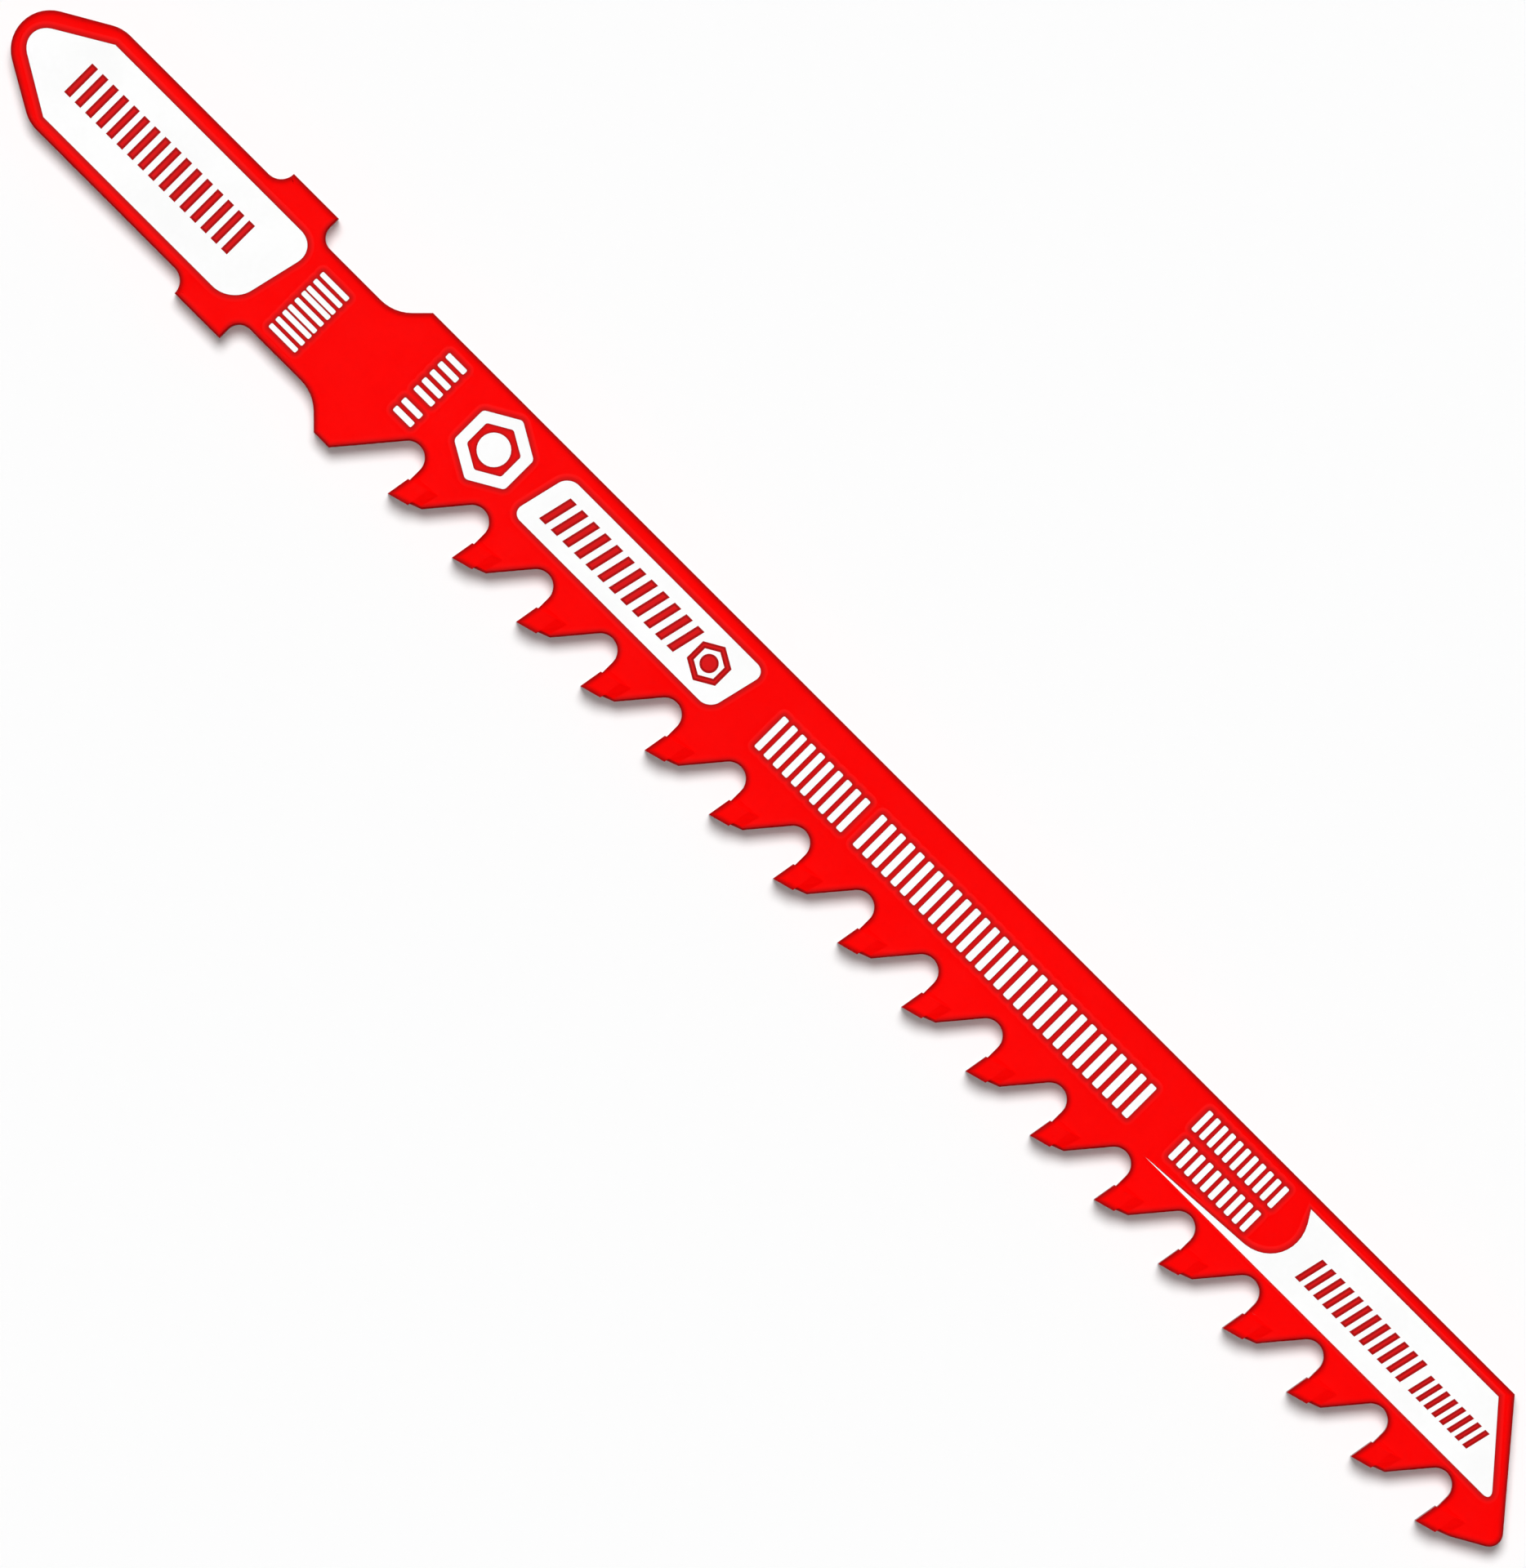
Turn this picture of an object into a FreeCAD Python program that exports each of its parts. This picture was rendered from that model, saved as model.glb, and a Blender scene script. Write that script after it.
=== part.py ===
import FreeCAD
import Part
import math
import os

# A T-shank jigsaw blade lying flat, in millimetres.  +X runs from the tang to the nose, +Y from
# the teeth to the back edge, and +Z through the thickness.  The origin is under the middle of the
# blade, level with the side of the carbide tips that it lies on.

# Whole blade
OVERALL_LENGTH = 100.4
BODY_THICKNESS = 1.25
BLADE_WIDTH = 8.0          # back edge to the lower edge of the heel
EDGE_BEVEL = 0.08          # bevel round the outline, on both broad faces

# Tang: the part that the saw clamps
TANG_WIDTH = 6.3
TANG_TAPER = 30.0          # degrees between each side of the point and the blade's axis
TANG_POINT_RADIUS = 1.87
TANG_SHOULDER_RADIUS = 1.9

# Lugs: the two ears of the T
LUG_WIDTH = 8.0            # over both ears
LUG_START = 14.2           # from the end of the tang
LUG_LENGTH = 3.0
LUG_SEAT_RADIUS = 0.72     # hollow between each ear and the neck

# Neck and the flare to the full width
NECK_WIDTH = 5.37
NECK_LENGTH = 5.0          # from the lugs to where the flare would begin if it were sharp
FLARE_ANGLE = 45.0
FLARE_RADIUS = 2.1

# Teeth, cutting on the pull towards the tang
TOOTH_PITCH = 4.3
TIP_SETBACK = 0.43         # the tooth points lie this far inside the heel's lower edge
HEEL_LAND = 0.5            # least flat length of the heel before the first tooth
GULLET_DEPTH = 2.68
GULLET_RADIUS = 0.81
BACK_ANGLE = 50.0          # slope of the long back of a tooth
LAND_ANGLE = 21.0          # slope of the steel right behind a tip

# Carbide tips
RAKE_ANGLE = 9.5
CLEARANCE_ANGLE = 15.0
TIP_HEIGHT = 1.19          # along the rake face
TIP_LENGTH = 1.09          # along the clearance face
TIP_STAND_OUT = 0.09       # how far a tip stands out of the steel, in front and behind
SIDE_CLEARANCE = 0.175     # how far a tip stands out of each broad face at its point
SIDE_RELIEF_BACK = 2.0     # the sides draw in towards the back of the tip,
SIDE_RELIEF_DOWN = 1.5     # and towards its seat

# Nose
NOSE_REACH = 3.56          # from the last tooth point to the end of the blade
NOSE_ANGLE = 49.8          # slope of the slanted end
BELLY_ANGLE = 29.5         # slope of the lower side of the nose
NOSE_RADIUS = 0.66

SHORTEST_EDGE = 1e-6
PARTS_FOLDER = "parts"


def direction(degrees):
    """Unit vector in the plane of the blade."""
    angle = math.radians(degrees)
    return FreeCAD.Vector(math.cos(angle), math.sin(angle), 0)


def crossing(start_a, angle_a, start_b, angle_b):
    """Point where two lines meet, each given by a point and its slope in degrees."""
    along_a = direction(angle_a)
    along_b = direction(angle_b)
    gap = start_b - start_a
    turn = along_a.x * along_b.y - along_a.y * along_b.x
    reach = (gap.x * along_b.y - gap.y * along_b.x) / turn
    return start_a + along_a * reach


def rounded_wire(corners):
    """Closed wire through (point, radius) corners, with an arc at each corner that has a radius."""
    count = len(corners)
    points = [point for point, _ in corners]
    runs = [points[(i + 1) % count] - points[i] for i in range(count)]
    half_turns = [runs[i - 1].getAngle(runs[i]) / 2 for i in range(count)]
    cut_back = [corners[i][1] * math.tan(half_turns[i]) for i in range(count)]
    edges = []
    for i in range(count):
        after = (i + 1) % count
        along = FreeCAD.Vector(runs[i]).normalize()
        onward = FreeCAD.Vector(runs[after]).normalize()
        start = points[i] + along * cut_back[i]
        end = points[after] - along * cut_back[after]
        if (end - start).Length > SHORTEST_EDGE:
            edges.append(Part.LineSegment(start, end).toShape())
        if cut_back[after] > SHORTEST_EDGE:
            leave = points[after] + onward * cut_back[after]
            inward = (onward - along).normalize()
            radius = corners[after][1]
            middle = points[after] + inward * (radius / math.cos(half_turns[after]) - radius)
            edges.append(Part.Arc(end, middle, leave).toShape())
    return Part.Wire(edges)


def tip_corners(point):
    """Side view of one carbide tip, in the order point, top of the rake face, inner corner, heel."""
    up_rake = direction(90 - RAKE_ANGLE) * TIP_HEIGHT
    along_clearance = direction(CLEARANCE_ANGLE) * TIP_LENGTH
    return [point, point + up_rake, point + up_rake + along_clearance, point + along_clearance]


def tooth_corners(point):
    """Gullet corner, uncut steel point and back corner of the tooth whose tip has this point."""
    _, rake_top, _, tip_heel = tip_corners(point)
    face_x = rake_top.x + TIP_STAND_OUT
    centre_y = point.y + GULLET_DEPTH - GULLET_RADIUS
    half_turn = math.radians((90 + BACK_ANGLE) / 2)
    gullet = FreeCAD.Vector(face_x, centre_y + GULLET_RADIUS * math.tan(half_turn), 0)
    land_start = tip_heel + direction(CLEARANCE_ANGLE + 90) * TIP_STAND_OUT
    steel_point = crossing(land_start, LAND_ANGLE, gullet, 90)
    next_gullet = gullet + FreeCAD.Vector(TOOTH_PITCH, 0, 0)
    back_corner = crossing(land_start, LAND_ANGLE, next_gullet, BACK_ANGLE)
    return gullet, steel_point, back_corner


def tooth_points():
    """Cutting points from the heel to the nose, counted back from the nose in whole pitches."""
    line_y = TIP_SETBACK - BLADE_WIDTH / 2
    last = FreeCAD.Vector(OVERALL_LENGTH - NOSE_REACH, line_y, 0)
    gullet, _, _ = tooth_corners(last)
    heel_corner = crossing(gullet, BACK_ANGLE, FreeCAD.Vector(0, -BLADE_WIDTH / 2, 0), 0)
    room = heel_corner.x - flare_end() - HEEL_LAND
    count = int(room / TOOTH_PITCH) + 1
    return [last - FreeCAD.Vector(TOOTH_PITCH * (count - 1 - i), 0, 0) for i in range(count)]


def flare_start():
    return LUG_START + LUG_LENGTH + NECK_LENGTH


def flare_end():
    return flare_start() + (BLADE_WIDTH - NECK_WIDTH) / 2 / math.tan(math.radians(FLARE_ANGLE))


def hollow_radius(wanted, side, turn):
    """Radius of a hollow that leaves the end of its side long enough to be bevelled."""
    return min(wanted, (side - EDGE_BEVEL) / math.tan(turn / 2))


def shank_corners(side):
    """Corners from behind the tang's point to the flare, on one side of the axis."""
    taper = math.radians(TANG_TAPER)
    point_x = TANG_POINT_RADIUS - TANG_POINT_RADIUS / math.sin(taper)
    shoulder_x = point_x + TANG_WIDTH / 2 / math.tan(taper)
    lug_end = LUG_START + LUG_LENGTH
    scoop_radius = (LUG_WIDTH - TANG_WIDTH) / 2
    seat_radius = hollow_radius(LUG_SEAT_RADIUS, (LUG_WIDTH - NECK_WIDTH) / 2, math.pi / 2)
    flare = math.radians(FLARE_ANGLE)
    flare_side = (BLADE_WIDTH - NECK_WIDTH) / 2 / math.sin(flare)
    flare_radius = hollow_radius(FLARE_RADIUS, flare_side, flare)
    rows = [
        (shoulder_x, TANG_WIDTH, TANG_SHOULDER_RADIUS),
        (LUG_START, TANG_WIDTH, scoop_radius),
        (LUG_START, LUG_WIDTH, 0),
        (lug_end, LUG_WIDTH, 0),
        (lug_end, NECK_WIDTH, seat_radius),
        (flare_start(), NECK_WIDTH, flare_radius),
        (flare_end(), BLADE_WIDTH, 0),
    ]
    return [(FreeCAD.Vector(x, side * width / 2, 0), radius) for x, width, radius in rows]


def nose_corners(last_back_corner):
    """The rounded end of the nose and the sharp corner at the back edge."""
    corner_angle = math.radians(NOSE_ANGLE + BELLY_ANGLE)
    to_centre = NOSE_RADIUS / math.sin(corner_angle / 2)
    bisector = direction(180 + (BELLY_ANGLE - NOSE_ANGLE) / 2)
    end_x = OVERALL_LENGTH - NOSE_RADIUS - bisector.x * to_centre
    end_line = FreeCAD.Vector(end_x, 0, 0)
    end = crossing(last_back_corner, BELLY_ANGLE, end_line, 90)
    back_line = FreeCAD.Vector(0, BLADE_WIDTH / 2, 0)
    back = crossing(end, 180 - NOSE_ANGLE, back_line, 0)
    return [(end, NOSE_RADIUS), (back, 0)]


def body_outline():
    taper = math.radians(TANG_TAPER)
    point_x = TANG_POINT_RADIUS - TANG_POINT_RADIUS / math.sin(taper)
    corners = [(FreeCAD.Vector(point_x, 0, 0), TANG_POINT_RADIUS)]
    corners += shank_corners(-1)
    points = tooth_points()
    first_gullet, _, _ = tooth_corners(points[0])
    heel_line = FreeCAD.Vector(0, -BLADE_WIDTH / 2, 0)
    corners.append((crossing(first_gullet, BACK_ANGLE, heel_line, 0), 0))
    for point in points:
        gullet, steel_point, back_corner = tooth_corners(point)
        corners += [(gullet, GULLET_RADIUS), (steel_point, 0), (back_corner, 0)]
    corners += nose_corners(back_corner)
    corners += reversed(shank_corners(1))
    return rounded_wire(corners)


def seat_cutter(point):
    """Wedge that opens the pocket of one tip, past the steel in front of it and below it."""
    _, rake_top, inner, tip_heel = tip_corners(point)
    spare = 4 * TIP_STAND_OUT
    past_front = (rake_top - inner).normalize() * spare
    past_heel = (tip_heel - inner).normalize() * spare
    corners = [inner, rake_top + past_front, point + past_front + past_heel, tip_heel + past_heel]
    wire = Part.makePolygon(corners + [inner])
    return Part.Face(wire).extrude(FreeCAD.Vector(0, 0, BODY_THICKNESS + 2 * SIDE_CLEARANCE))


def blade_body():
    plate = Part.Face(body_outline()).extrude(FreeCAD.Vector(0, 0, BODY_THICKNESS))
    plate.translate(FreeCAD.Vector(0, 0, SIDE_CLEARANCE))
    rim = [edge for edge in plate.Edges if edge.BoundBox.ZLength < SHORTEST_EDGE]
    plate = plate.makeChamfer(EDGE_BEVEL, rim)
    return plate.cut([seat_cutter(point) for point in tooth_points()])


def carbide_tip(point):
    """One tip: a block with six flat faces whose sides draw in away from its cutting corner."""
    corners = tip_corners(point)
    middle_z = SIDE_CLEARANCE + BODY_THICKNESS / 2
    rake_normal = direction(-RAKE_ANGLE)
    clearance_normal = direction(CLEARANCE_ANGLE + 90)
    back_slope = math.tan(math.radians(SIDE_RELIEF_BACK))
    down_slope = math.tan(math.radians(SIDE_RELIEF_DOWN))
    left = []
    right = []
    for corner in corners:
        behind = (corner - point).dot(rake_normal)
        below = (corner - point).dot(clearance_normal)
        half = middle_z - back_slope * behind - down_slope * below
        left.append(FreeCAD.Vector(corner.x, corner.y, middle_z - half))
        right.append(FreeCAD.Vector(corner.x, corner.y, middle_z + half))
    loops = [left, right]
    for i in range(len(corners)):
        after = (i + 1) % len(corners)
        loops.append([left[i], left[after], right[after], right[i]])
    faces = [Part.Face(Part.makePolygon(loop + [loop[0]])) for loop in loops]
    solid = Part.Solid(Part.Shell(faces))
    if solid.Volume < 0:
        solid.reverse()
    return solid


def export(shape, name):
    shape.translate(FreeCAD.Vector(-OVERALL_LENGTH / 2, 0, 0))
    shape.exportStep(os.path.join(PARTS_FOLDER, name + ".step"))


os.makedirs(PARTS_FOLDER, exist_ok=True)
export(blade_body(), "blade_body")
for number, point in enumerate(tooth_points(), start=1):
    export(carbide_tip(point), f"carbide_tip_{number:02d}")
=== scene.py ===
import math
import bmesh
import bpy
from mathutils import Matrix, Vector


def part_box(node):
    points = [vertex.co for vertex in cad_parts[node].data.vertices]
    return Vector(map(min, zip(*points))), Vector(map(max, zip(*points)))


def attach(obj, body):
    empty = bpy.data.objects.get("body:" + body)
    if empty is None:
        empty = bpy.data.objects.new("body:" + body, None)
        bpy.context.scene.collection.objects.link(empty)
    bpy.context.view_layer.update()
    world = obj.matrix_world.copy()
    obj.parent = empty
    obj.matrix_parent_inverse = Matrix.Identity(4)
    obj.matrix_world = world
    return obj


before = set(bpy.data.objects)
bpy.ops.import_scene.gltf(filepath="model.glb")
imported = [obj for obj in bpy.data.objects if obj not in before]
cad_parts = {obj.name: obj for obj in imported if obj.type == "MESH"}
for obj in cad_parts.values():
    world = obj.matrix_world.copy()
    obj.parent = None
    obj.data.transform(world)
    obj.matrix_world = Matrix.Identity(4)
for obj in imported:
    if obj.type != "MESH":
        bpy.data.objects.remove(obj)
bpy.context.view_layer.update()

# Steel blade.  One flat stamping of spring steel with milled teeth, from the tang to the nose.
# It is sprayed with red lacquer, which lies smooth on the broad faces.  The bevels are painted
# dark red as edge shade, and on the cut walls the lacquer is a little duller.
MM = 0.001
LACQUER_RED = (0.985, 0.0003, 0.0002, 1)
LACQUER_SHADE = (0.955, 0.0003, 0.0002, 1)
# Dark red of the painted edge shade on bevels, rim and tips; printed lines and mark borders use it
# too.
EDGE_SHADE_AND_LINE_RED = (0.385, 0.0016, 0.0020, 1)
WALL_LACQUER = (0.62, 0.0016, 0.0014, 1)
BEVEL_FADE = (0.0, 0.01)
WALL_FADE = (0.06, 0.11)
SHADE_SPOTS = 9.0
SHADE_RANGE = (0.3, 0.7)
SKIN_DEPTH = 0.003
PEEL_SPOTS = 0.42
FINE_PEEL_SPOTS = 0.11
FINE_PEEL = 0.25
LACQUER_GLOSS = 0.12
GLOSS_CHANGE = 0.06
GLOSS_SPOTS = 1.6
LACQUER_SPECULAR = 0.07

body_low, body_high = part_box("blade_body")
TOP_FACE = body_high.z / MM
MIDDLE = (body_low.z + body_high.z) / 2 / MM
HALF_BODY = TOP_FACE - MIDDLE


class Tone:
    """A shader socket that plain arithmetic works on: each operation adds its Math node."""

    def __init__(self, tree, socket=None):
        self.tree = tree
        self.socket = socket

    def node(self, kind, settings=None, inputs=None, output=0):
        """Any node, with its settings made first and then its inputs, as one of its outputs."""
        made = self.tree.nodes.new(kind)
        for name, setting in (settings or {}).items():
            setattr(made, name, setting)
        for name, source in (inputs or {}).items():
            if isinstance(source, Tone):
                self.tree.links.new(source.socket, made.inputs[name])
            else:
                made.inputs[name].default_value = source
        return Tone(self.tree, made.outputs[output])

    def maths(self, operation, *values):
        return self.node("ShaderNodeMath", {"operation": operation}, dict(enumerate(values)))

    def __add__(self, other):
        return self.maths("ADD", self, other)

    def __radd__(self, other):
        return self.maths("ADD", other, self)

    def __sub__(self, other):
        return self.maths("SUBTRACT", self, other)

    def __rsub__(self, other):
        return self.maths("SUBTRACT", other, self)

    def __mul__(self, other):
        return self.maths("MULTIPLY", self, other)

    def __rmul__(self, other):
        return self.maths("MULTIPLY", other, self)

    def __truediv__(self, other):
        return self.maths("DIVIDE", self, other)

    def __abs__(self):
        return self.maths("ABSOLUTE", self)

    def step(self, start, end):
        """0 before start, 1 after end, and a smooth rise between them."""
        return self.node("ShaderNodeMapRange", {"interpolation_type": "SMOOTHSTEP"},
                         {"Value": self, "From Min": start, "From Max": end})

    def step_evenly(self, start, end):
        """0 before start, 1 after end, and a straight rise between them."""
        return self.node("ShaderNodeMapRange", {"interpolation_type": "LINEAR"},
                         {"Value": self, "From Min": start, "From Max": end})

    def blend(self, first, second):
        """Colour that goes from the first to the second as this value goes from 0 to 1."""
        return self.node("ShaderNodeMix", {"data_type": "RGBA"},
                         {"Factor": self, "A": first, "B": second}, output=2)


def new_finish(name, roughness, specular):
    """A material, its main shader, and the place on the piece in millimetres."""
    material = bpy.data.materials.new(name)
    material.use_nodes = True
    tree = material.node_tree
    shader = tree.nodes["Principled BSDF"]
    shader.inputs["Roughness"].default_value = roughness
    shader.inputs["Specular IOR Level"].default_value = specular
    metres = Tone(tree).node("ShaderNodeTexCoord", output="Object")
    place = metres.node("ShaderNodeVectorMath", {"operation": "SCALE"},
                        {"Vector": metres, "Scale": 1 / MM})
    return material, shader, place


def mottle(place, size, detail=2.0):
    """Soft random pattern from 0 to 1, with spots of about the given size in millimetres."""
    return place.node("ShaderNodeTexNoise", {},
                      {"Vector": place, "Scale": 1 / size, "Detail": detail, "Roughness": 0.5})


def feed(shader, socket, tone):
    """Links a value that varies over the piece to a socket of its shader."""
    tone.tree.links.new(tone.socket, shader.inputs[socket])


def emboss(shader, height, depth):
    """Raises the surface by the height pattern, whose full range is the depth in millimetres."""
    bump = height.node("ShaderNodeBump", {}, {"Height": height, "Distance": depth * MM})
    feed(shader, "Normal", bump)


def part_of(place, axis):
    """One of the three coordinates of a place: 0 along, 1 across, 2 up."""
    return place.node("ShaderNodeSeparateXYZ", {}, {"Vector": place}, output=axis)


def smooth_red(place):
    """Red in two shades that run softly into each other."""
    return mottle(place, SHADE_SPOTS).step(*SHADE_RANGE).blend(LACQUER_SHADE, LACQUER_RED)


def orange_peel(place):
    """Faint waves that sprayed lacquer dries with."""
    fine = mottle(place, FINE_PEEL_SPOTS, detail=1.0)
    return mottle(place, PEEL_SPOTS, detail=1.0) + FINE_PEEL * fine


def lacquer(name, tint, relief=orange_peel):
    """Red lacquer; tint makes its colour from the place, and relief the pattern of its skin."""
    material, shader, place = new_finish(name, LACQUER_GLOSS, LACQUER_SPECULAR)
    feed(shader, "Base Color", tint(place))
    feed(shader, "Roughness", LACQUER_GLOSS + GLOSS_CHANGE * mottle(place, GLOSS_SPOTS))
    emboss(shader, relief(place), SKIN_DEPTH)
    return material


def body_tint(place):
    """Red faces, painted dark edge shade on the bevels, duller red on the walls."""
    depth = HALF_BODY - abs(part_of(place, 2) - MIDDLE)
    red = depth.step(*BEVEL_FADE).blend(smooth_red(place), EDGE_SHADE_AND_LINE_RED)
    return depth.step(*WALL_FADE).blend(red, WALL_LACQUER)


def dress(node, material):
    """Gives a solid of the frame its finish."""
    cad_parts[node].material_slots[0].material = material


dress("blade_body", lacquer("red_lacquer_body", body_tint))

# Rim of painted edge shade.  A skin of a few thousandths of a millimetre along the outline of
# both broad faces, painted dark red at the outer edge and fading inward to the lacquer's red, as
# shade along the outline.  It stops at the seats of the tips.
BEVEL_DEPTH = 0.08
DARK_REACH = 0.06
FADE_REACH = 0.36
RIM_WIDTH = FADE_REACH - BEVEL_DEPTH
RIM_RISE = 0.006
HAIR = 0.001
MERGE_REACH = 0.0001

TIP_COUNT = 17
tips = [f"carbide_tip_{number:02d}" for number in range(1, TIP_COUNT + 1)]
seat_corners = [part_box(tip)[1] for tip in tips]


def dark_edge(place, distance):
    """Dark red near an edge, fading to red further away: painted edge shade, and printed lines."""
    near = 1 - distance.step_evenly(DARK_REACH, FADE_REACH)
    return (near * near).blend(smooth_red(place), EDGE_SHADE_AND_LINE_RED)


def rim_tint(place):
    """The skin of the rim is highest along its outer edge, which tells how far away that is."""
    fall = 1 - (abs(part_of(place, 2) - MIDDLE) - HALF_BODY) / RIM_RISE
    return dark_edge(place, BEVEL_DEPTH + RIM_WIDTH * fall)


def pick(piece, wanted):
    """Selects the points of a piece in edit mode whose place in millimetres is wanted."""
    bpy.ops.mesh.select_all(action="DESELECT")
    mesh = bmesh.from_edit_mesh(piece.data)
    for point in mesh.verts:
        point.select = wanted(*(point.co / MM))
    mesh.select_flush(True)
    bmesh.update_edit_mesh(piece.data)


def pick_near(piece, x, y):
    """Selects the points that are nearest to a place on the blade, in millimetres."""
    mesh = bmesh.from_edit_mesh(piece.data)
    reach = min(math.dist((p.co.x / MM, p.co.y / MM), (x, y)) for p in mesh.verts)
    pick(piece, lambda px, py, pz: math.dist((px, py), (x, y)) <= reach + HAIR)


def shift(x, y, z=0.0):
    """Moves what is selected in edit mode by millimetres."""
    bpy.ops.transform.translate(value=(x * MM, y * MM, z * MM))


def face_outward():
    """Turns the faces of every closed layer outwards."""
    bpy.ops.mesh.select_all(action="SELECT")
    bpy.ops.mesh.normals_make_consistent(inside=False)


def close_below(depth):
    """Turns an open skin into a closed layer of the given depth."""
    bpy.ops.mesh.select_all(action="SELECT")
    bpy.ops.mesh.extrude_region_move(TRANSFORM_OT_translate={"value": (0, 0, -depth * MM)})
    face_outward()


def make_rim(seats):
    """Skin of painted edge shade along the outline of both broad faces, except at the seats."""
    rim = bpy.data.objects.new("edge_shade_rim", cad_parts["blade_body"].data.copy())
    bpy.context.scene.collection.objects.link(rim)
    bpy.ops.object.select_all(action="DESELECT")
    rim.select_set(True)
    bpy.context.view_layer.objects.active = rim
    bpy.ops.object.mode_set(mode="EDIT")
    bpy.ops.mesh.select_all(action="SELECT")
    bpy.ops.mesh.remove_doubles(threshold=MERGE_REACH * MM)
    pick(rim, lambda x, y, z: z < TOP_FACE - HAIR)
    bpy.ops.mesh.delete(type="VERT")
    bpy.ops.mesh.select_all(action="SELECT")
    bpy.ops.mesh.dissolve_faces()
    bpy.ops.mesh.inset(thickness=RIM_WIDTH * MM, depth=-RIM_RISE * MM)
    bpy.ops.mesh.delete(type="FACE")
    for seat in seats:
        pick_near(rim, seat.x / MM, seat.y / MM)
        bpy.ops.mesh.delete(type="VERT")
    bpy.ops.mesh.select_all(action="SELECT")
    shift(0, 0, RIM_RISE)
    close_below(2 * RIM_RISE)
    bpy.ops.mesh.duplicate()
    bpy.ops.transform.resize(value=(1, 1, -1), center_override=(0, 0, MIDDLE * MM))
    face_outward()
    bpy.ops.object.mode_set(mode="OBJECT")
    rim.data.materials.clear()
    rim.data.materials.append(lacquer("edge_shade_rim_lacquer", rim_tint))
    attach(rim, "root")


make_rim(seat_corners)

# Carbide tips.  Seventeen small blocks of tungsten carbide, each brazed into its seat and then
# ground to the cutting angles.  The lacquer covers them too, with painted edge shade that
# darkens it towards the rake and clearance edges, and the grinding marks show through it.
RAKE_ANGLE = math.radians(9.5)
CLEARANCE_ANGLE = math.radians(15.0)
GRIND_SHAPE = (11.0, 0.8, 2.0)
GRIND_SPOTS = 0.8
PEEL_OVER_GRIND = 0.4

first_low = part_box(tips[0])[0]
second_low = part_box(tips[1])[0]
TOOTH_PITCH = (second_low.x - first_low.x) / MM
POINT_X = first_low.x / MM
POINT_Y = first_low.y / MM
LEAD = TOOTH_PITCH / 4


def tip_tint(place):
    """Red, with painted edge shade darker towards the rake and clearance edges of every tip."""
    along = part_of(place, 0) - (POINT_X - LEAD)
    behind = along.maths("MODULO", along, TOOTH_PITCH) - LEAD
    above = part_of(place, 1) - POINT_Y
    from_rake = behind * math.cos(RAKE_ANGLE) - above * math.sin(RAKE_ANGLE)
    from_land = above * math.cos(CLEARANCE_ANGLE) - behind * math.sin(CLEARANCE_ANGLE)
    return dark_edge(place, from_rake.maths("MINIMUM", from_rake, from_land))


def grinding_marks(place):
    """Fine scratches across the tip, which the lacquer softens."""
    drawn = place.node("ShaderNodeVectorMath", {"operation": "MULTIPLY"},
                       {0: place, 1: GRIND_SHAPE})
    return mottle(drawn, GRIND_SPOTS, detail=3.0) + PEEL_OVER_GRIND * orange_peel(place)


tip_finish = lacquer("red_lacquer_tips", tip_tint, grinding_marks)
for tip in tips:
    dress(tip, tip_finish)

# Braze fillets.  The tips are a little wider than the steel, so braze runs down from each tip to
# the broad face beside it.  A fillet is L-shaped, along the floor and the back of the seat, and
# it lies under the same lacquer.
FLOOR_SEAM = 0.90
BACK_SEAM = 0.97
BACK_END = 0.675
FLOOR_FILLET = 0.30
BACK_FILLET = 0.65
END_FILLET = 0.44
CORNER_RISE = 0.105
END_RISE = 0.125
FILLET_SINK = 0.004
FILLET_ROOT = 0.03
FILLET_BASE = 0.02


def repeat_along(piece, step, count):
    """Repeats the mesh of a piece in even steps, which are given in metres."""
    bpy.context.view_layer.objects.active = piece
    repeat = piece.modifiers.new("repeat", "ARRAY")
    repeat.use_relative_offset = False
    repeat.use_constant_offset = True
    repeat.constant_offset_displace = step
    repeat.count = count
    bpy.ops.object.modifier_apply(modifier=repeat.name)


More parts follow.
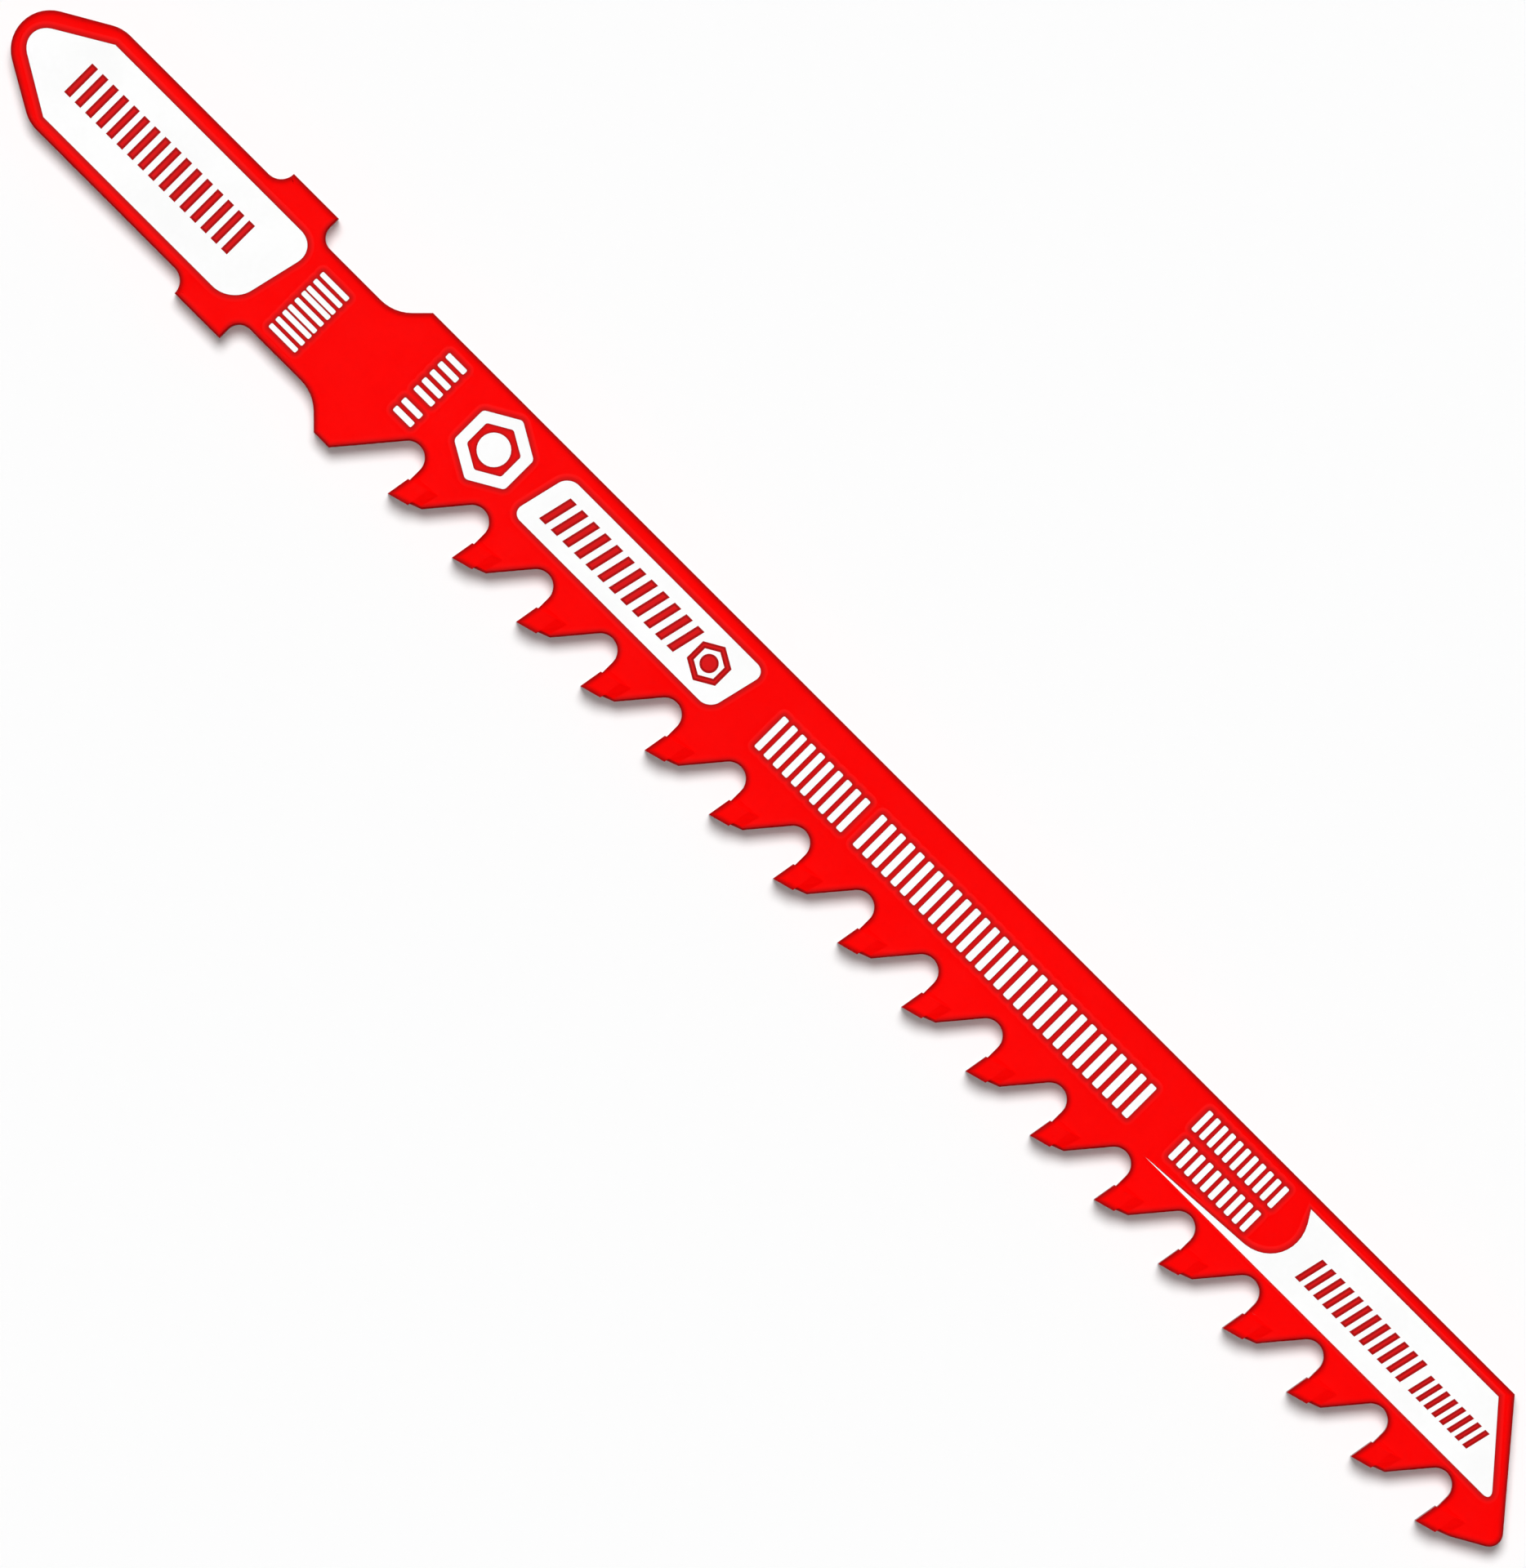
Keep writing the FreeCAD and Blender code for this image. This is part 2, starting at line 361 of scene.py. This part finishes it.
def braze_fillets():
    """One L-shaped fillet down from a tip to the steel, repeated along both faces."""
    corner = seat_corners[0] / MM
    along_floor = Vector((math.cos(CLEARANCE_ANGLE), math.sin(CLEARANCE_ANGLE)))
    along_back = Vector((math.sin(RAKE_ANGLE), math.cos(RAKE_ANGLE)))
    from_floor = Vector((-along_floor.y, along_floor.x))
    from_back = Vector((along_back.y, -along_back.x))
    inner = -FILLET_ROOT * (from_floor + from_back)
    outer = FLOOR_FILLET * from_floor + BACK_FILLET * from_back
    # The skin starts as two squares side by side.  Each of their corners, the keys below, then
    # goes to its place, counted from the corner of the seat, and to its height over the steel.
    side = 2
    left, middle, right = -20, -18, -16
    places = {
        (left, 0): (-FLOOR_SEAM * along_floor - FILLET_ROOT * from_floor, END_RISE),
        (left, side): (-FLOOR_SEAM * along_floor + FLOOR_FILLET * from_floor, -FILLET_SINK),
        (middle, 0): (inner, CORNER_RISE),
        (middle, side): (outer, -FILLET_SINK),
        (right, 0): (-BACK_SEAM * along_back - FILLET_ROOT * from_back, END_RISE),
        (right, side): (-BACK_END * along_back + END_FILLET * from_back, -FILLET_SINK),
    }
    bpy.ops.object.select_all(action="DESELECT")
    bpy.ops.mesh.primitive_plane_add(size=side * MM)
    fillets = bpy.context.object
    fillets.name = "braze_fillets"
    bpy.ops.object.mode_set(mode="EDIT")
    shift((left + middle) / 2, side / 2)
    pick(fillets, lambda x, y, z: x > (left + middle) / 2)
    bpy.ops.mesh.extrude_region_move(TRANSFORM_OT_translate={"value": (side * MM, 0, 0)})
    for (x, y), (place, height) in places.items():
        pick_near(fillets, x, y)
        shift(corner.x + place.x - x, corner.y + place.y - y, TOP_FACE + height)
    close_below(END_RISE + FILLET_BASE)
    bpy.ops.mesh.duplicate()
    bpy.ops.transform.resize(value=(1, 1, -1), center_override=(0, 0, MIDDLE * MM))
    face_outward()
    bpy.ops.object.mode_set(mode="OBJECT")
    repeat_along(fillets, (TOOTH_PITCH * MM, 0, 0), TIP_COUNT)
    fillets.data.materials.clear()
    # The fillets take the tips' colour, with its painted edge shade.
    fillets.data.materials.append(lacquer("red_lacquer_fillets", tip_tint))
    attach(fillets, "root")


braze_fillets()

# Print panels.  Three white fields on the upper side, screen-printed over the lacquer, each
# inside a dark red line that fades outward.  The first fills the tang, the second stands behind
# the first teeth, and the third follows the slant of the nose and ends in a long tail.
INK_FOOT = TOP_FACE - 0.004
LINE_TOP = TOP_FACE + 0.010
WHITE_TOP = TOP_FACE + 0.016
CORNER_STEPS = 12
INK_WHITE = (0.990, 0.990, 0.989, 1)
INK_WHITE_SHADE = (0.962, 0.962, 0.959, 1)
INK_SPECULAR = 0.05
INK_ROUGHNESS = 0.42
ROUGHNESS_CHANGE = 0.18
ROUGHNESS_SPOTS = 0.5
GRAIN_SPOTS = 0.16
GRAIN_DEPTH = 0.0012
CLOUD_SPOTS = 2.4
FINE_CLOUD_SPOTS = 0.3
FINE_CLOUDS = 0.3
CLOUD_RANGE = (0.3, 0.65)
LINE_STEPS = 4
EDGE_REACH = 0.1


def ink(name, tint):
    """Matt ink with the grain of a screen print; tint makes its colour from the place."""
    material, shader, place = new_finish(name, INK_ROUGHNESS, INK_SPECULAR)
    feed(shader, "Base Color", tint(place))
    feed(shader, "Roughness", INK_ROUGHNESS + ROUGHNESS_CHANGE * mottle(place, ROUGHNESS_SPOTS))
    emboss(shader, mottle(place, GRAIN_SPOTS), GRAIN_DEPTH)
    return material


def cloudy(place):
    """Faint clouds of ink that lies thicker and thinner."""
    broad = (1 - FINE_CLOUDS) * mottle(place, CLOUD_SPOTS)
    return (broad + FINE_CLOUDS * mottle(place, FINE_CLOUD_SPOTS)).step(*CLOUD_RANGE)


def white_tint(place):
    """White in two shades, after how thick the ink lies."""
    return cloudy(place).blend(INK_WHITE_SHADE, INK_WHITE)


def line_tint(place):
    """The rounded line is highest along its middle, which tells how far away that is."""
    rise = (part_of(place, 2) - INK_FOOT) / (LINE_TOP - INK_FOOT)
    flank = (1 - rise * rise).maths("MAXIMUM", 1 - rise * rise, 0.0)
    return dark_edge(place, FADE_REACH * flank.maths("SQRT", flank))


white_ink = ink("white_ink", white_tint)
line_ink = ink("line_ink", line_tint)


def start_field(name, left, right, low, high):
    """A rectangle at the foot of the ink, in edit mode and selected, its edges in millimetres."""
    bpy.ops.object.select_all(action="DESELECT")
    bpy.ops.mesh.primitive_plane_add(size=1)
    field = bpy.context.object
    field.name = name
    bpy.ops.object.mode_set(mode="EDIT")
    bpy.ops.transform.resize(value=((right - left) * MM, (high - low) * MM, 1))
    centre = ((left + right) / 2 * MM, (low + high) / 2 * MM, INK_FOOT * MM)
    bpy.ops.transform.translate(value=centre)
    return field


def round_selected(setback, steps, profile=0.5):
    """Rounds the selected points of a flat field, starting each curve at the setback."""
    bpy.ops.mesh.bevel(offset=setback * MM, segments=steps, profile=profile,
                       affect="VERTICES", clamp_overlap=False)


def round_point(field, x, y, setback, profile=0.5):
    """Rounds the point nearest to a place, starting the curve at the setback from it."""
    pick_near(field, x, y)
    round_selected(setback, CORNER_STEPS, profile)


def thicken(top):
    """Raises a flat field to the given height and closes it below."""
    bpy.ops.mesh.select_all(action="SELECT")
    shift(0, 0, top - INK_FOOT)
    close_below(top - INK_FOOT)


def print_on(piece, material):
    """Ends the modelling of a layer of ink and lays it on the blade."""
    bpy.ops.object.mode_set(mode="OBJECT")
    piece.data.materials.clear()
    piece.data.materials.append(material)
    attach(piece, "root")


def keep_outline():
    """Leaves of a flat field only the edges along its border."""
    bpy.ops.mesh.select_mode(type="EDGE")
    bpy.ops.mesh.select_all(action="SELECT")
    bpy.ops.mesh.region_to_loop()
    bpy.ops.mesh.select_all(action="INVERT")
    bpy.ops.mesh.delete(type="EDGE")
    bpy.ops.mesh.select_mode(type="VERT")
    bpy.ops.mesh.select_all(action="SELECT")
    bpy.ops.mesh.delete(type="ONLY_FACE")


def key_line(field):
    """Dark red line along the outline of a flat field that is still in edit mode."""
    bpy.ops.object.mode_set(mode="OBJECT")
    bpy.ops.object.duplicate()
    line = bpy.context.object
    line.name = field.name + "_line"
    bpy.ops.object.mode_set(mode="EDIT")
    keep_outline()
    bpy.ops.object.mode_set(mode="OBJECT")
    bpy.ops.object.convert(target="CURVE")
    line.data.bevel_depth = FADE_REACH * MM
    line.data.bevel_resolution = LINE_STEPS
    bpy.ops.object.convert(target="MESH")
    bpy.ops.object.mode_set(mode="EDIT")
    bpy.ops.mesh.select_all(action="SELECT")
    foot = (0, 0, INK_FOOT * MM)
    flatness = (LINE_TOP - INK_FOOT) / FADE_REACH
    bpy.ops.transform.resize(value=(1, 1, flatness), center_override=foot)
    face_outward()
    print_on(line, line_ink)
    bpy.ops.object.select_all(action="DESELECT")
    field.select_set(True)
    bpy.context.view_layer.objects.active = field
    bpy.ops.object.mode_set(mode="EDIT")
    return line


def finish_panel(field):
    """Gives a flat field its dark line, its thickness and its white ink."""
    key_line(field)
    thicken(WHITE_TOP)
    print_on(field, white_ink)


def panel_on_tang():
    """The first panel repeats the point of the tang, and its other end is slanted."""
    left, right, low, high = -46.30, -33.22, -2.485, 2.335
    point_x, slant = -50.36, 0.565
    panel = start_field("panel_tang", left, right, low, high)
    pick(panel, lambda x, y, z: x < left + EDGE_REACH)
    to_point = ((point_x - left) * MM, 0, 0)
    bpy.ops.mesh.extrude_region_move(TRANSFORM_OT_translate={"value": to_point})
    bpy.ops.mesh.merge(type="CENTER")
    pick(panel, lambda x, y, z: abs(x - left) < EDGE_REACH)
    bpy.ops.mesh.dissolve_edges(use_verts=False)
    pick_near(panel, right, high)
    shift(slant, 0)
    pick_near(panel, right, low)
    shift(-slant, 0)
    round_point(panel, point_x, (low + high) / 2, setback=1.62, profile=0.46)
    round_point(panel, right + slant, high, setback=1.22)
    round_point(panel, right - slant, low, setback=1.17)
    finish_panel(panel)


def panel_in_middle():
    """The second panel leans forward, with round corners."""
    left, right, low, high = -17.02, -3.82, -0.052, 3.104
    slant = 0.375
    panel = start_field("panel_middle", left, right, low, high)
    pick(panel, lambda x, y, z: y > high - EDGE_REACH)
    shift(slant, 0)
    pick(panel, lambda x, y, z: y < low + EDGE_REACH)
    shift(-slant, 0)
    round_point(panel, left - slant, low, setback=0.58)
    round_point(panel, right - slant, low, setback=0.61)
    round_point(panel, right + slant, high, setback=0.63)
    round_point(panel, left + slant, high, setback=0.61)
    finish_panel(panel)


def panel_on_nose():
    """The third panel follows the nose, and a round hollow leaves it a long tail."""
    tail, heel, low, high = 25.45, 48.61, -0.42, 3.373
    left, shoulder = 32.74, 45.29
    hollow_x, hollow_y = 34.75, 0.175
    panel = start_field("panel_nose", tail, heel, low, high)
    pick(panel, lambda x, y, z: x < tail + EDGE_REACH)
    bpy.ops.mesh.subdivide(number_cuts=1)
    pick_near(panel, tail, (low + high) / 2)
    shift(hollow_x - tail, hollow_y - (low + high) / 2)
    pick_near(panel, tail, high)
    shift(left - tail, 0)
    pick_near(panel, heel, high)
    shift(shoulder - heel, 0)
    round_point(panel, hollow_x, hollow_y, setback=3.1, profile=0.45)
    round_point(panel, heel, low, setback=0.60)
    finish_panel(panel)


panel_on_tang()
panel_in_middle()
panel_on_nose()

# Printed marks.  Plain hatched bars and hexagons, where such a blade carries its printing: white
# with a dark line on the lacquer, and red with a dark border on the white panels.  Each bar is
# one stripe, repeated.
MARK_TOP = WHITE_TOP + 0.004
CORE_RISE = 0.004
CORE_INSET = 0.14
CORE_FADE = (0.55, 1.10)
STRIPE_SHARE = 0.56
WHITE_CORNER = 0.07
CORNER_PARTS = 4
RING_HOLE = 0.68
DOT_SHARE = 0.42
DOT_SIDES = 32
INK_RED = (0.76, 0.0050, 0.0060, 1)
INK_RED_SHADE = (0.68, 0.0045, 0.0055, 1)


def red_mark_tint(place):
    """Dark along the border of the mark, and lighter where its core rises."""
    rise = (part_of(place, 2) - MARK_TOP) / CORE_RISE
    core = cloudy(place).blend(INK_RED_SHADE, INK_RED)
    return rise.step(*CORE_FADE).blend(EDGE_SHADE_AND_LINE_RED, core)


red_ink = ink("red_ink", red_mark_tint)


def finish_white_mark(mark):
    """Thickens a white mark on the lacquer; gives the mark and the dark line round it."""
    line = key_line(mark)
    thicken(WHITE_TOP)
    print_on(mark, white_ink)
    return mark, line


def finish_red_mark(mark):
    """Thickens a red mark on a panel and raises its core."""
    thicken(MARK_TOP)
    pick(mark, lambda x, y, z: z > MARK_TOP - HAIR)
    bpy.ops.mesh.inset(thickness=CORE_INSET * MM, depth=CORE_RISE * MM)
    print_on(mark, red_ink)
    return (mark,)


def hatched_bar(name, left, right, low, high, stripes, slant=0.0, upright=True, on_panel=False):
    """A bar of even stripes, upright or lying, with its ends in millimetres."""
    if upright:
        pitch = (right - left) / (stripes - 1 + STRIPE_SHARE)
        bar = start_field(name, left, left + pitch * STRIPE_SHARE, low, high)
        step = (pitch * MM, 0, 0)
    else:
        pitch = (high - low) / (stripes - 1 + STRIPE_SHARE)
        bar = start_field(name, left, right, low, low + pitch * STRIPE_SHARE)
        step = (0, pitch * MM, 0)
    pick(bar, lambda x, y, z: y > (low + high) / 2)
    shift(slant, 0)
    if on_panel:
        pieces = finish_red_mark(bar)
    else:
        bpy.ops.mesh.select_all(action="SELECT")
        round_selected(WHITE_CORNER, CORNER_PARTS)
        pieces = finish_white_mark(bar)
    for piece in pieces:
        repeat_along(piece, step, stripes)


def hexagon(name, x, y, radius, on_panel=False):
    """A hexagonal ring with a round dot in it."""
    bpy.ops.object.select_all(action="DESELECT")
    bpy.ops.mesh.primitive_circle_add(vertices=6, radius=radius * MM, fill_type="NOTHING")
    mark = bpy.context.object
    mark.name = name
    bpy.ops.object.mode_set(mode="EDIT")
    if not on_panel:
        round_selected(2 * WHITE_CORNER, CORNER_PARTS)
    bpy.ops.mesh.select_all(action="SELECT")
    bpy.ops.mesh.extrude_region_move()
    bpy.ops.transform.resize(value=(RING_HOLE, RING_HOLE, 1), center_override=(0, 0, 0))
    bpy.ops.mesh.primitive_circle_add(vertices=DOT_SIDES, radius=DOT_SHARE * radius * MM,
                                      fill_type="NGON")
    bpy.ops.mesh.select_all(action="SELECT")
    shift(x, y, INK_FOOT)
    if on_panel:
        finish_red_mark(mark)
    else:
        finish_white_mark(mark)


hatched_bar("bar_tang", left=-46.45, right=-35.55, low=-0.95, high=0.95, stripes=16, on_panel=True)
for number, low in enumerate((-1.97, -0.70, 0.55), start=1):
    hatched_bar(f"bar_neck_{number}", left=-31.75, right=-29.97, low=low, high=low + 1.16,
                stripes=3, upright=False)
for number, (low, high, stripes) in enumerate(((-0.60, 0.26, 2), (0.78, 3.22, 5)), start=1):
    hatched_bar(f"bar_flare_{number}", left=-24.80, right=-23.60, low=low, high=high,
                stripes=stripes, upright=False)
hexagon("hexagon_middle", x=-20.06, y=1.45, radius=1.95)
hatched_bar("bar_middle_panel", left=-16.27, right=-7.30, low=0.67, high=2.40, stripes=12,
            slant=0.40, on_panel=True)
hexagon("hexagon_panel", x=-5.70, y=1.50, radius=1.10, on_panel=True)
for number, (left, right, stripes) in enumerate(((-1.43, 4.37, 10), (5.15, 14.30, 15),
                                                (14.55, 23.53, 14)), start=1):
    hatched_bar(f"bar_middle_{number}", left, right, low=0.24, high=2.26, stripes=stripes)
hatched_bar("bar_pair_upper", left=26.02, right=31.37, low=2.05, high=3.30, stripes=11)
hatched_bar("bar_pair_lower", left=26.17, right=31.24, low=0.34, high=1.56, stripes=10)
hatched_bar("bar_nose_1", left=34.45, right=41.50, low=0.55, high=2.08, stripes=12,
            slant=0.35, on_panel=True)
hatched_bar("bar_nose_2", left=42.02, right=45.95, low=0.55, high=1.83, stripes=8,
            slant=0.30, on_panel=True)

# Studio.  The blade lies on a white floor in a white room.  One broad lamp high above the top of
# the picture casts the shadow, and a soft dome of fill light lifts it without a shadow of its
# own.  The camera looks straight down on the blade, with the nose at lower right.
FLOOR_HALF = 3.0
FLOOR_PARTS = 4
FLOOR_SEEN = (0.982, 0.982, 0.982, 1)
FLOOR_BOUNCE = (0.55, 0.55, 0.55, 1)
KEY_ELEVATION = math.radians(68.5)
KEY_SPREAD = math.radians(27.0)
KEY_STRENGTH = 2.57
FILL_SPREAD = math.radians(150.0)
FILL_STRENGTH = 0.63
ROOM_LIGHT = 0.04
PICTURE_TURN = math.radians(45.0)
PICTURE_HEIGHT = 74.27
PICTURE_CENTRE = (0.14, -0.73)
CAMERA_DISTANCE = 1.5
SENSOR = 36.0
VIEW_START = 0.1
VIEW_END = 10.0


def make_floor():
    """Wide floor that the camera sees white, and that reflects less light on the blade."""
    bpy.ops.object.select_all(action="DESELECT")
    bpy.ops.mesh.primitive_grid_add(x_subdivisions=FLOOR_PARTS, y_subdivisions=FLOOR_PARTS,
                                    size=2 * FLOOR_HALF)
    floor = bpy.context.object
    floor.name = "floor"
    material = bpy.data.materials.new("white_floor")
    material.use_nodes = True
    tree = material.node_tree
    shader = tree.nodes["Principled BSDF"]
    shader.inputs["Roughness"].default_value = 1.0
    shader.inputs["Specular IOR Level"].default_value = 0.0
    seen = Tone(tree).node("ShaderNodeLightPath", output="Is Camera Ray")
    feed(shader, "Base Color", seen.blend(FLOOR_BOUNCE, FLOOR_SEEN))
    floor.data.materials.append(material)


def light_room():
    """White room for the camera, which adds hardly any light of its own."""
    world = bpy.data.worlds.new("room")
    bpy.context.scene.world = world
    world.use_nodes = True
    tree = world.node_tree
    seen = Tone(tree).node("ShaderNodeLightPath", output="Is Camera Ray")
    background = tree.nodes["Background"]
    background.inputs["Color"].default_value = (1, 1, 1, 1)
    feed(background, "Strength", ROOM_LIGHT + (1 - ROOM_LIGHT) * seen)


def hang_lamp(name, strength, spread, lean, casts_shadow):
    """A far lamp, leaning towards the top of the picture."""
    bpy.ops.object.light_add(type="SUN")
    lamp = bpy.context.object
    lamp.name = name
    lamp.data.energy = strength
    lamp.data.angle = spread
    lamp.data.use_shadow = casts_shadow
    lamp.data.cycles.use_multiple_importance_sampling = casts_shadow
    lamp.rotation_euler = (-lean, 0, PICTURE_TURN)


def place_camera():
    """Camera straight above the blade; the picture's height is given in millimetres."""
    camera = bpy.data.objects.new("camera", bpy.data.cameras.new("camera"))
    bpy.context.scene.collection.objects.link(camera)
    bpy.context.scene.camera = camera
    camera.location = (PICTURE_CENTRE[0] * MM, PICTURE_CENTRE[1] * MM,
                       CAMERA_DISTANCE + TOP_FACE * MM)
    camera.rotation_euler = (0, 0, PICTURE_TURN)
    camera.data.sensor_width = SENSOR
    camera.data.lens = SENSOR * CAMERA_DISTANCE / (PICTURE_HEIGHT * MM)
    camera.data.clip_start = VIEW_START
    camera.data.clip_end = VIEW_END


make_floor()
light_room()
hang_lamp("key_lamp", KEY_STRENGTH, KEY_SPREAD, lean=math.pi / 2 - KEY_ELEVATION, casts_shadow=True)
hang_lamp("fill_dome", FILL_STRENGTH, FILL_SPREAD, lean=0.0, casts_shadow=False)
place_camera()
bpy.context.scene.view_settings.view_transform = "Standard"
